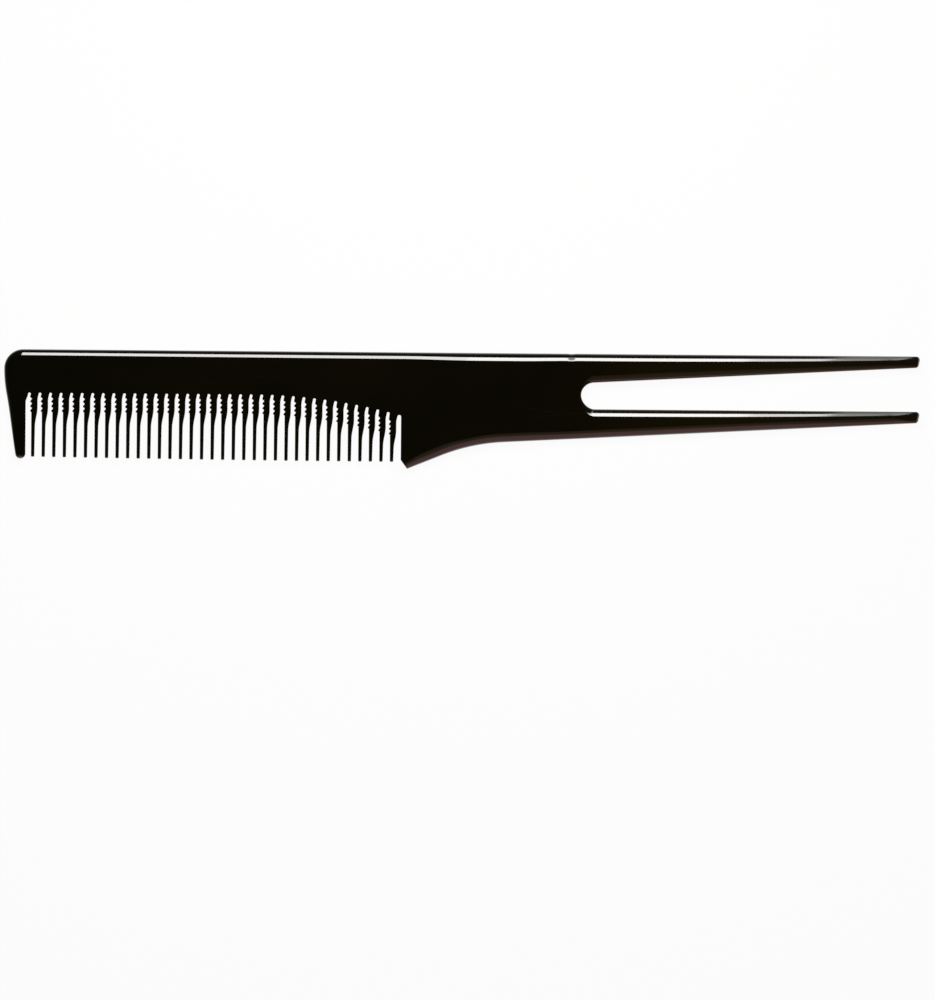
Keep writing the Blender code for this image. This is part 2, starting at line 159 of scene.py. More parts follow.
SHAFT_ROUND = 0.24 * MM
ROUND_LENGTH = 7.0 * MM  # the corners grow to the rounding of the shaft over this length
ROUND_LIMIT = 0.85  # most that the rounding takes of half the width
TOOTH_TIP_ROUND = 0.22 * MM  # corners of the blunt tips
TOOTH_TIP_TURN = math.radians(82)  # the corners turn by this much before the flat end
BLUNT_WIDTH = 0.5  # share of the width that a full turn would leave
BLUNT_THICKNESS = 0.45  # and share of the thickness

# Shank and heel
HEEL_CUT_LENGTH = 1.5 * MM
HEEL_CUT_HEIGHT = 2.05 * MM
HEEL_BEND = 16.1 * MM
HEEL_BEND_RADIUS = 45.0 * MM
HEEL_TIP_BEVEL = 0.85  # share of the bevel's reach left at the tip of the heel
HEEL_FADE = 4.0 * MM  # the bevel narrows over this length towards the tip of the heel
HEEL_SWELL = 0.2  # how much wider the bevel grows half way along the slope of the heel
HEEL_SWELL_LENGTH = 14.0 * MM
REST_LENGTH = 10.0 * MM  # level middle of the shank, on which the comb rests
GATE_PLACE = 130.3 * MM  # scar on the back edge, where the sprue was cut off
GATE_HALF_LENGTH = 1.1 * MM
GATE_DEPTH = 0.08 * MM
GATE_INSET = 1.2 * MM  # the dull spot of the scar lies this far in
GATE_HALF_WIDTH = 0.5 * MM

# Fork
PRONG_FULLNESS = 0.22 * MM  # the finished prongs are this much broader than their solids
SLOT_CLOSING = 0.1 * MM  # and the lower one lies this much nearer to the upper one
PRONG_TIP_WIDTH = 2.62 * MM
PRONG_TIP_THICKNESS = 1.8 * MM
TIP_LEAN = 0.6 * MM  # how far the blunt end of a prong leans back on its way down
TIP_CORNER_RADIUS = 0.8 * MM
TIP_REACH = 0.7 * MM  # rounding round the end of a prong
TIP_END_LENGTH = 1.5 * MM  # stretch at the end that has this rounding
TIP_FADE = 5.0 * MM  # the full rounding fades to it over this length
PRONG_BEVEL = 1.35  # how many times wider the lower prong's bevel is at the tip, for its thickness
BEVEL_START = 0.5  # share of half the width at which the bevel starts to replace the rounding
SLOT_STRETCH = 1.06  # the round end of the slot is this many times as long as a half circle
SLOT_SKEW = 0.3 * MM  # the round end of the slot is this much fuller at the bottom
SLOT_END_REACH = 0.4  # share of the edge's rounding left at the round end of the slot
FORK_MARGIN = 1.1 * EDGE_REACH  # level strip between the crown of the shank and the slot

# How finely outlines and crowned faces are divided
BACK_STEP = 4.0 * MM
GUARD_STEP = 1.5 * MM
GATE_STEP = 0.25 * MM
UNDERSIDE_STEP = 1.5 * MM
HEEL_STEP = 0.7 * MM
HEEL_SIDE_STEP = 1.0 * MM
PRONG_STEP = 0.7 * MM
FREE_END_STEPS = 8
END_CORNER_STEPS = 20
GAP_STEPS = 7  # in each quarter of a gap's round top
GUARD_FLARE_STEPS = 11
GUARD_SIDE_STEPS = 16
GUARD_TIP_STEPS = 24
SLOT_STEPS = 40
HEEL_BEND_STEPS = 16
TIP_CORNER_STEPS = 14
NOSE_STEPS = 10
HEEL_CROWN_STEPS = 14
FORK_CROWN_STEPS = 10
PRONG_CROWN_STEPS = 30

# Noise in the plastic: scale, detail and roughness of each
STROKES = (2600, 2.0, 0.55)
PATCHES = (60, 1.0, 0.5)
WEAR = (420, 3.0, 0.6)
CLOUD = (38, 3.0, 0.55)
GRAIN = (1500, 2.0, 0.6)
RIPPLE = (420, 2.0, 0.5)

# Where a pattern starts to show, and where it shows fully
STROKE_RANGE = (0.66, 0.74)
PATCH_RANGE = (0.50, 0.64)
WEAR_RANGE = (0.35, 0.7)
CLOUD_RANGE = (0.3, 0.7)
SCAR_RANGE = (0.2, 1.0)

# Colours, gloss and relief of the plastic
DEEP_BLACK = (0.0023, 0.0019, 0.0003, 1.0)
PALE_BLACK = (0.0034, 0.0028, 0.0007, 1.0)
HANDLED_BROWN = (0.0078, 0.0050, 0.0012, 1.0)
RUBBED_GREY = (0.0070, 0.0058, 0.0030, 1.0)
CLOUD_SHARE = 0.6  # the clouds' share of the mottling, where the grain has the rest
WEAR_TINT = 0.5
HAIRLINE_TINT = 0.25
HAIRLINE_LAYERS = ((4, 0.02), (-17, 0.03), (68, 0.05))  # turn in degrees, and squeeze along the stroke
PRONG_WEAR = 12.0 * MM  # worn stretch at the prong tips
TOOTH_WEAR = 5.0 * MM  # worn stretch at the tooth tips
HANDLED_BEFORE = 12.0 * MM  # the browner tail starts this far before the root of the fork
HANDLED_AFTER = 30.0 * MM  # and is fully brown this far past it
POLISH = 0.065
CLOUD_DULLING = 0.02
HAIRLINE_DULLING = 0.03
WEAR_DULLING = 0.06
SCAR_DULLING = 0.4
SCAR_COAT_LOSS = 0.75
COAT_ROUGHNESS = 0.05
PLASTIC_IOR = 1.6
RIPPLE_RELIEF = 0.4
GRAIN_RELIEF = 0.1
HAIRLINE_RELIEF = 0.2
RELIEF_STRENGTH = 0.03
RELIEF_HEIGHT = 0.02 * MM

# Table and room
WHITE = (1.0, 1.0, 1.0, 1.0)
TABLE_HALF_SIZE = 8.0
TABLE_CLEARANCE = 0.02 * MM
TABLE_GREY = (0.9, 0.9, 0.9, 1.0)  # what the lamps light
TABLE_GLOW = 0.95  # share of even white in what the camera sees
ROOM_OVERHEAD = (0.010, 0.008, 0.003, 1.0)
ROOM_SIDES = (0.15, 0.14, 0.13, 1.0)

# Lamps along the comb. Their lean is in degrees from straight overhead towards the back,
# and their lengths are in metres.
KEY_PANEL = {"lean": 26, "distance": 0.30, "height": 0.15, "colour": (1.0, 0.99, 0.98)}
KEY_STRETCHES = (  # start, end and radiance
    (-0.122, -0.004, 8.6),
    (-0.004, 0.076, 10.5),
    (0.076, 0.099, 7.4),
    (0.099, 0.116, 2.4),
)
TIP_CARD = {"lean": 62, "distance": 0.30, "height": 0.24, "radiance": 1.6, "colour": (1.0, 0.93, 0.86)}
TIP_STRETCH = (0.098, 0.125)
FRONT_CARDS = {
    "front_card": {"lean": -76.5, "height": 0.45, "radiance": 0.45, "colour": (1.0, 0.495, 0.48)},
    "front_glow": {"lean": -48, "height": 0.57, "radiance": 0.145, "colour": (1.0, 0.64, 0.42)},
    "front_haze": {"lean": -25, "height": 0.24, "radiance": 0.092, "colour": (1.0, 0.64, 0.42)},
}
FRONT_DISTANCE = 1.0
FRONT_STRETCH = (-0.6, 0.6)

# Camera straight above the comb
CAMERA_DISTANCE = 4.0
CAMERA_REACH = 100.0
SENSOR_WIDTH = 36.0
PICTURE_WIDTH = 214.75 * MM
PICTURE_CENTRE = (1.52 * MM, -20.41 * MM)
PICTURE_TURN = math.radians(0.48)

# Places that follow
LEFT_REACH = SERRATION_HEIGHT / 2
GAP_WIDTH = TOOTH_PITCH - ROOT_WIDTH - LEFT_REACH
FIRST_FLANK = first_low.x - FREE_END + SERRATION_HEIGHT
ROOT_BEND_START = HEEL_EDGE - ROOT_BEND_LENGTH
REST_START = HEEL_EDGE + (FORK_ROOT - HEEL_EDGE - REST_LENGTH) / 2
REST_END = REST_START + REST_LENGTH
PRONG_PITCH = upper_high.y - lower_high.y - SLOT_CLOSING
PRONG_ROOT_WIDTH = upper_high.y - upper_low.y + PRONG_FULLNESS
SLOT_RADIUS = (PRONG_PITCH - PRONG_ROOT_WIDTH) / 2
FORK_LEVEL = FORK_ROOT - SLOT_RADIUS - FORK_MARGIN
PRONG_SLOPE = (PRONG_ROOT_WIDTH - PRONG_TIP_WIDTH) / (LENGTH - FORK_ROOT)


def blend(start, end, share):
    return start + (end - start) * share


def shares(steps):
    return [step / steps for step in range(steps + 1)]


def smooth(share):
    share = min(1.0, max(0.0, share))
    return share * share * (3 - 2 * share)


def along_prong(along):
    """Share of the way from the root of the fork to the prong tips."""
    return (along - FORK_ROOT) / (LENGTH - FORK_ROOT)


def body_thickness(along):
    """Thin at the free end, crowned at the middle of the shank, thin at the prong tips."""
    if along < HEEL_EDGE:
        return blend(GUARD_THICKNESS, HEEL_THICKNESS, max(0.0, along) / HEEL_EDGE)
    if along < REST_START:
        return blend(HEEL_THICKNESS, THICKNESS, smooth((along - HEEL_EDGE) / (REST_START - HEEL_EDGE)))
    if along < FORK_LEVEL:
        return blend(THICKNESS, FORK_THICKNESS, smooth((along - REST_END) / (FORK_LEVEL - REST_END)))
    return blend(FORK_THICKNESS, PRONG_TIP_THICKNESS, max(0.0, along_prong(along)) ** 2)


def edge_reach(point):
    return EDGE_REACH * body_thickness(point.x) / THICKNESS


def gap_reach(point):
    return GAP_ROUND


def root_depth(along):
    past = max(0.0, along - ROOT_BEND_START)
    return ROOT_DEPTH + ROOT_BEND_RADIUS - math.sqrt(ROOT_BEND_RADIUS**2 - past**2)


def gap(number):
    """Left side, right side, foot depth and radius of the rounded top of the gap after a tooth."""
    right = FIRST_FLANK + number * TOOTH_PITCH - LEFT_REACH
    left = right - GAP_WIDTH
    if number == TOOTH_COUNT:
        right = HEEL_EDGE
    radius = (right - left) / 2
    return left, right, root_depth(left + radius) + radius, radius


def arc(centre, radius, start, sweep, steps):
    angles = [start + sweep * step / steps for step in range(steps + 1)]
    return [
        Vector((centre[0] + radius * math.cos(angle), centre[1] + radius * math.sin(angle)))
        for angle in angles
    ]


def line(start, end, step):
    """Points along a straight stretch, both ends included."""
    start = Vector(start)
    end = Vector(end)
    count = max(1, math.ceil((end - start).length / step))
    return [start.lerp(end, index / count) for index in range(count + 1)]


def fillet(before, corner, after, radius, steps):
    """The arc that rounds a corner between two straight stretches."""
    corner = Vector(corner)
    back = (Vector(before) - corner).normalized()
    ahead = (Vector(after) - corner).normalized()
    half = back.angle(ahead) / 2
    centre = corner + (back + ahead).normalized() * radius / math.sin(half)
    spoke = corner + back * radius / math.tan(half) - centre
    turn = math.pi - 2 * half
    if back.x * ahead.y - back.y * ahead.x > 0:
        turn = -turn
    return arc(centre, radius, math.atan2(spoke.y, spoke.x), turn, steps)


def hermite(start, start_slope, end, end_slope, span, share):
    """A smooth curve from one value to another with a given slope at each end."""
    ahead = share - 1
    return (
        start * (1 + 2 * share) * ahead**2
        + start_slope * span * share * ahead**2
        + end * share**2 * (3 - 2 * share)
        + end_slope * span * share**2 * ahead
    )


def nose(place, start, end):
    """Share of the thickness left in the last stretch of a blunt tip."""
    share = min(1.0, max(0.0, (place - start) / (end - start)))
    return blend(TIP_NOSE, 1.0, math.sqrt(1 - share**2))


def edge_profile(bevel):
    """Insets and falls below the face, as shares of the reach, over a chain of arcs from face to side."""
    knots = [
        (blend(soft[0], flat[0], bevel), math.radians(blend(soft[1], flat[1], bevel)))
        for soft, flat in zip(ROUND_EDGE, BEVEL_EDGE)
    ]
    points = [(1.0, 0.0)]
    for (start, low), (end, high), steps in zip(knots, knots[1:], PROFILE_STEPS):
        radius = (start - end) / (math.sin(high) - math.sin(low))
        fallen = points[-1][1]
        for step in range(1, steps + 1):
            tilt = blend(low, high, step / steps)
            inset = start - radius * (math.sin(tilt) - math.sin(low))
            points.append((inset, fallen + radius * (math.cos(low) - math.cos(tilt))))
    return points


class Rim:
    """One stretch of a moulding's outline, with the plastic on its right.

    reach_at says how far in the edge's rounding goes at a point, and bevel_at how flat it is there.
    start and end turn the first and last section, where the rim meets a seat.
    """

    def __init__(self, points, reach_at, start=None, end=None, bevel_at=None):
        self.points = points[:1]
        for point in points[1:]:
            if (point - self.points[-1]).length > LEAST_STEP:
                self.points.append(point)
        self.reach_at = reach_at
        self.bevel_at = bevel_at
        self.inward = []
        for index, point in enumerate(self.points):
            before = self.points[max(0, index - 1)]
            after = self.points[min(len(self.points) - 1, index + 1)]
            legs = [leg.normalized() for leg in (point - before, after - point) if leg.length > 0]
            heading = sum(legs, Vector((0, 0))).normalized()
            self.inward.append(Vector((-heading.y, heading.x)))
        if start is not None:
            self.inward[0] = Vector(start).normalized()
        if end is not None:
            self.inward[-1] = Vector(end).normalized()

    def columns(self, thickness_at):
        """For each point, the places from the front face over the edge to the back face."""
        for point, inward in zip(self.points, self.inward):
            reach = self.reach_at(point)
            profile = edge_profile(self.bevel_at(point) if self.bevel_at else 0.0)
            thinned = thickness_at(point.x, point.y) / THICKNESS
            fall = min(reach / thinned, (THICKNESS / 2 - PARTING_ROOM) / profile[-1][1])
            small = min(1.0, reach / EDGE_REACH)
            ridge = PARTING_RIDGE * small
            side = ridge + SIDE_DRAFT * small
            front = [(reach + FACE_MARGIN, THICKNESS / 2)]
            front += [
                (side + (reach - side) * inset, THICKNESS / 2 - fall * fallen)
                for inset, fallen in profile
            ]
            front += [(ridge, 2 * PARTING_HALF), (0.0, PARTING_HALF)]
            back = [(inset, -height) for inset, height in reversed(front)]
            yield [(*(point + inward * inset), height) for inset, height in front + back]


def moulding(rims, thickness_at, cuts=(), cut_normal=(1, 0, 0)):
    """A closed moulding from the rims of its outline, with flat seats between them and two faces.

    Cuts are distances along cut_normal at which the faces are divided, so that they can follow a curve.
    """
    shape = bmesh.new()
    loops = []
    for rim in rims:
        columns = [
            [shape.verts.new((along, -depth, height)) for along, depth, height in column]
            for column in rim.columns(thickness_at)
        ]
        for left, right in zip(columns, columns[1:]):
            for upper in range(len(left) - 1):
                shape.faces.new((left[upper], left[upper + 1], right[upper + 1], right[upper]))
        loops.append(columns)
    for columns, following in zip(loops, loops[1:] + loops[:1]):
        shape.faces.new(columns[-1] + following[0][::-1])
    sheets = [
        shape.faces.new([column[level] for columns in loops for column in columns]) for level in (0, -1)
    ]
    for distance in cuts:
        borders = dict.fromkeys(part for sheet in sheets for part in (*sheet.verts, *sheet.edges))
        place = Vector(cut_normal) * distance
        divided = bmesh.ops.bisect_plane(
            shape, geom=[*borders, *sheets], dist=CUT_TOLERANCE, plane_co=place, plane_no=cut_normal
        )
        sheets = [part for part in divided["geom"] if isinstance(part, bmesh.types.BMFace)]
    for vertex in shape.verts:
        vertex.co.z *= thickness_at(vertex.co.x, -vertex.co.y) / THICKNESS
    bmesh.ops.recalc_face_normals(shape, faces=shape.faces)
    for vertex in shape.verts:
        vertex.co += Vector((FREE_END, BACK_EDGE, MIDDLE))
    mesh = bpy.data.meshes.new("moulding")
    shape.to_mesh(mesh)
    shape.free()
    return mesh


def finished(name, mesh, material):
    """The mesh as a piece with level faces, soft roundings and crisp seats."""
    mesh.shade_smooth()
    mesh.set_sharp_from_angle(angle=SHARP_ANGLE)
    mesh.materials.clear()
    mesh.materials.append(material)
    piece = bpy.data.objects.new(name, mesh)
    bpy.context.scene.collection.objects.link(piece)
    weighting = piece.modifiers.new("level faces", "WEIGHTED_NORMAL")
    weighting.mode = "FACE_AREA"
    weighting.keep_sharp = True
    graph = bpy.context.evaluated_depsgraph_get()
    weighted = bpy.data.meshes.new_from_object(piece.evaluated_get(graph))
    piece.modifiers.clear()
    piece.data = weighted
    bpy.data.meshes.remove(mesh)
    weighted.name = name
    return piece


def plain_thickness(along, depth):
    return body_thickness(along)


def spine_mesh():
    guard_seat = gap(0)[2]
    seat = HEEL_EDGE - gap(TOOTH_COUNT)[3]
    lean_span = guard_seat - END_CORNER_RADIUS
    free_end = [
        Vector((END_LEAN * share**2, END_CORNER_RADIUS + lean_span * share))
        for share in reversed(shares(FREE_END_STEPS))
    ]
    corner_centre = (END_CORNER_RADIUS, END_CORNER_RADIUS)
    corner = arc(corner_centre, END_CORNER_RADIUS, math.pi, math.pi / 2, END_CORNER_STEPS)
    back = line((END_CORNER_RADIUS, 0), (seat, 0), BACK_STEP)
    rims = [Rim(free_end + corner + back, edge_reach, (1, 0), (0, 1))]
    for number in range(TOOTH_COUNT, -1, -1):
        left, right, foot, radius = gap(number)
        centre = (left + radius, foot)
        if number == TOOTH_COUNT:
            points = arc(centre, radius, -math.pi / 2, -math.pi / 2, GAP_STEPS)
            start = (0, -1)
        else:
            points = arc(centre, radius, 0, -math.pi, 2 * GAP_STEPS)
            after = gap(number + 1)
            start = (after[0] - right, after[2] - foot)
        if number > 0:
            before = gap(number - 1)
            end = (before[1] - left, before[2] - foot)
        else:
            end = (-1, 0)
        rims.append(Rim(points, gap_reach, start, end))
    return moulding(rims, plain_thickness)


def guard_mesh():
    inner_root, _, top, _ = gap(0)
    radius = GUARD_TIP_WIDTH / 2
    tip_depth = TIP_DEPTH + GUARD_EXTRA
    tilt = math.atan(GUARD_TIP_SLOPE)
    tip_centre = Vector((GUARD_WIDTH - radius, tip_depth - radius))
    outer_end = tip_centre + radius * Vector((-math.cos(tilt), math.sin(tilt)))
    outer_span = outer_end.y - top
    root_slope = 2 * END_LEAN / (top - END_CORNER_RADIUS)
    inner = []
    for share in shares(GUARD_FLARE_STEPS):
        along = blend(inner_root, GUARD_WIDTH, smooth(share))
        inner.append(Vector((along, top + share * GUARD_FLARE_LENGTH)))
    inner += line(inner[-1], (GUARD_WIDTH, tip_centre.y), GUARD_STEP)
    tip = arc(tip_centre, radius, 0, math.pi - tilt, GUARD_TIP_STEPS)
    outer = []
    for share in reversed(shares(GUARD_SIDE_STEPS)):
        along = hermite(END_LEAN, root_slope, outer_end.x, GUARD_TIP_SLOPE, outer_span, share)
        outer.append(Vector((along, top + share * outer_span)))

    def reach(point):
        """Small on the inner side, growing round the tip to the outer side's broad rounding."""
        past_top = smooth((point.y - top) / outer_span)
        outer_reach = blend(edge_reach(point), GUARD_TIP_REACH * radius, past_top)
        if point.y < tip_centre.y and point.x > tip_centre.x:
            return GAP_ROUND
        past_inner = smooth((GUARD_WIDTH - point.x) / (GUARD_REACH_SPAN * radius))
        return blend(GAP_ROUND, outer_reach, past_inner)

    def thickness(along, depth):
        share = (depth - top) / (tip_depth - top)
        full = blend(body_thickness(along), GUARD_TIP_THICKNESS, share)
        return full * nose(depth, tip_centre.y, tip_depth)

    rims = [Rim(inner + tip + outer, reach, (-1, 0), (1, 0))]
    cuts = [-blend(tip_centre.y, tip_depth, share) for share in shares(NOSE_STEPS)[:-1]]
    return moulding(rims, thickness, cuts, (0, 1, 0))


def shank_mesh():
    _, _, foot, radius = gap(TOOTH_COUNT)
    seat = HEEL_EDGE - radius
    underside = PRONG_PITCH + PRONG_ROOT_WIDTH
    bend = HEEL_EDGE + HEEL_BEND
    heel_tip = Vector((HEEL_EDGE + HEEL_CUT_LENGTH, HEEL_DEPTH))
    heel_corner = Vector((HEEL_EDGE, HEEL_DEPTH - HEEL_CUT_HEIGHT))
    bend_corner = (bend, underside + PRONG_SLOPE * (FORK_ROOT - bend))
    tilt = math.atan(PRONG_SLOPE)
    slot_centre = (FORK_ROOT, PRONG_ROOT_WIDTH + SLOT_RADIUS)

    back = line((seat, 0), (FORK_ROOT, 0), GATE_STEP)
    for point in back:
        off_gate = min(1.0, abs(point.x - GATE_PLACE) / GATE_HALF_LENGTH)
        point.y += GATE_DEPTH * (1 - smooth(off_gate))
    slot = [Vector((FORK_ROOT, PRONG_ROOT_WIDTH))]
    slot += arc(slot_centre, SLOT_RADIUS, -math.pi / 2 - tilt, -math.pi + tilt, SLOT_STEPS)
    for point in slot[1:]:
        fullness = smooth((point.y - PRONG_ROOT_WIDTH) / (2 * SLOT_RADIUS))
        point.x = FORK_ROOT - SLOT_STRETCH * (FORK_ROOT - point.x)
        from_seat = min(1.0, 2 * (FORK_ROOT - point.x) / SLOT_RADIUS)
        point.x += SLOT_SKEW * fullness * from_seat
    bend_arc = fillet((FORK_ROOT, underside), bend_corner, heel_tip, HEEL_BEND_RADIUS, HEEL_BEND_STEPS)
    lower = line((FORK_ROOT, underside), bend_arc[0], UNDERSIDE_STEP) + bend_arc
    lower += line(bend_arc[-1], heel_tip, HEEL_STEP)
    heel_side = line(heel_corner, (HEEL_EDGE, foot), HEEL_SIDE_STEP)
    heel_side += arc((seat, foot), radius, 0, -math.pi / 2, GAP_STEPS)

    def heel_reach(point):
        from_tip = (point - heel_tip).length
        swell = math.sin(math.pi * min(1.0, from_tip / HEEL_SWELL_LENGTH))
        share = blend(HEEL_TIP_BEVEL, 1.0, smooth(from_tip / HEEL_FADE)) + HEEL_SWELL * swell
        return share * BEVEL_REACH * edge_reach(point)

    def slot_reach(point):
        share = smooth((FORK_ROOT - point.x) / SLOT_RADIUS)
        return edge_reach(point) * blend(1.0, SLOT_END_REACH, share)

    rims = [
        Rim(back, edge_reach, (0, 1), (0, 1)),
        Rim(slot, slot_reach, (0, -1), (0, 1)),
        Rim(lower, heel_reach, (0, -1), heel_corner - heel_tip, lambda point: 1.0),
        Rim(heel_side, gap_reach, heel_tip - heel_corner, (0, -1)),
    ]
    crown = [blend(HEEL_EDGE, REST_START, share) for share in shares(HEEL_CROWN_STEPS)]
    crown += [blend(REST_END, FORK_LEVEL, share) for share in shares(FORK_CROWN_STEPS)]
    return moulding(rims, plain_thickness, crown)


def prong_mesh(top, bevelled):
    """One prong, whose straight top edge lies at the depth given. Its underside may be bevelled."""
    nose_start = LENGTH - PRONG_TIP_WIDTH / 2
    root_start = Vector((FORK_ROOT, top))
    root_end = Vector((FORK_ROOT, top + PRONG_ROOT_WIDTH))
    lean = math.atan(TIP_LEAN / PRONG_TIP_WIDTH)
    spare = TIP_CORNER_RADIUS * (math.tan(lean) + 1 / math.cos(lean) - 1)
    top_corner = Vector((LENGTH + spare, top))
    low_corner = top_corner + Vector((-TIP_LEAN, PRONG_TIP_WIDTH))
    tip = fillet(root_start, top_corner, low_corner, TIP_CORNER_RADIUS, TIP_CORNER_STEPS)
    tip += fillet(top_corner, low_corner, root_end, TIP_CORNER_RADIUS, TIP_CORNER_STEPS)
    upper = line(root_start, tip[0], PRONG_STEP)
    lower = line(tip[-1], root_end, PRONG_STEP)

    def bevel(point):
        """0 along the top edge and 1 along the underside, changing over round the tip."""
        half_width = blend(PRONG_ROOT_WIDTH, PRONG_TIP_WIDTH, along_prong(point.x)) / 2
        return bevelled * smooth((point.y - top) / half_width - BEVEL_START)

    def reach(point):
        bevelled_reach = BEVEL_REACH * blend(1.0, PRONG_BEVEL, along_prong(point.x) ** 2)
        full = edge_reach(point) * blend(1.0, bevelled_reach, bevel(point))
        from_end = LENGTH - TIP_END_LENGTH - point.x
        return blend(TIP_REACH, full, smooth(from_end / TIP_FADE))

    def thickness(along, depth):
        return body_thickness(along) * nose(along, nose_start, LENGTH)

    rims = [Rim(upper + tip + lower, reach, (0, 1), (0, -1), bevel)]
    cuts = [blend(FORK_ROOT, nose_start, share) for share in shares(PRONG_CROWN_STEPS)[1:]]
    cuts += [blend(nose_start, LENGTH, share) for share in shares(NOSE_STEPS)[1:-1]]
    return moulding(rims, thickness, cuts)


class Wire:
    """A node's output that takes part in sums written as plain Python."""

    def __init__(self, socket):
        self.socket = socket
        self.tree = socket.id_data

    @staticmethod
    def node(tree, kind, settings=None, sockets=None):
        """Adds a node. Its settings are set first, then the values or wires of its sockets."""
        made = tree.nodes.new(kind)
        for name, value in (settings or {}).items():
            setattr(made, name, value)
        for name, value in (sockets or {}).items():
            if isinstance(value, Wire):
                tree.links.new(value.socket, made.inputs[name])
            else:
                made.inputs[name].default_value = value
        return made

    def sum(self, operation, *terms):
        made = Wire.node(self.tree, "ShaderNodeMath", {"operation": operation}, dict(enumerate(terms)))
        return Wire(made.outputs[0])

    def __add__(self, other):
        return self.sum("ADD", self, other)

    __radd__ = __add__

    def __sub__(self, other):
        return self.sum("SUBTRACT", self, other)

    def __rsub__(self, other):
        return self.sum("SUBTRACT", other, self)

    def __mul__(self, other):
        return self.sum("MULTIPLY", self, other)

    __rmul__ = __mul__

    def __truediv__(self, other):
        return self.sum("DIVIDE", self, other)

    def __mod__(self, other):
        return self.sum("FLOORED_MODULO", self, other)

    def __neg__(self):
        return self.sum("MULTIPLY", self, -1.0)

    def __gt__(self, other):
        return self.sum("GREATER_THAN", self, other)

    def __lt__(self, other):
        return self.sum("LESS_THAN", self, other)

    def least(self, other):
        return self.sum("MINIMUM", self, other)

    def most(self, other):
        return self.sum("MAXIMUM", self, other)

    def held(self):
        """The value kept between 0 and 1."""
        return self.most(0.0).least(1.0)

    def floor(self):
        return self.sum("FLOOR", self)

    def root(self):
        return self.sum("SQRT", self)

    def sine(self):
        return self.sum("SINE", self)

    def cosine(self):
        return self.sum("COSINE", self)

    def eased(self, low, high):
        """0 below low, 1 above high and a gentle climb between."""
        share = ((self - low) / (high - low)).held()
        return share * share * (3 - 2 * share)

    def to(self, start, end):
        """A value between start and end by this share."""
        return start + (end - start) * self

    def mixed(self, first, second):
        """A colour between two others by this share."""
        # Inputs 6 and 7 and output 2 are the node's colours, since its other kinds share their names
        sockets = {"Factor": self, 6: first, 7: second}
        return Wire(Wire.node(self.tree, "ShaderNodeMix", {"data_type": "RGBA"}, sockets).outputs[2])


def maker(tree):
    """A function that adds a node to the tree and gives one of its outputs."""

    def made(kind, output, settings=None, sockets=None):
        return Wire(Wire.node(tree, kind, settings, sockets).outputs[output])

    return made


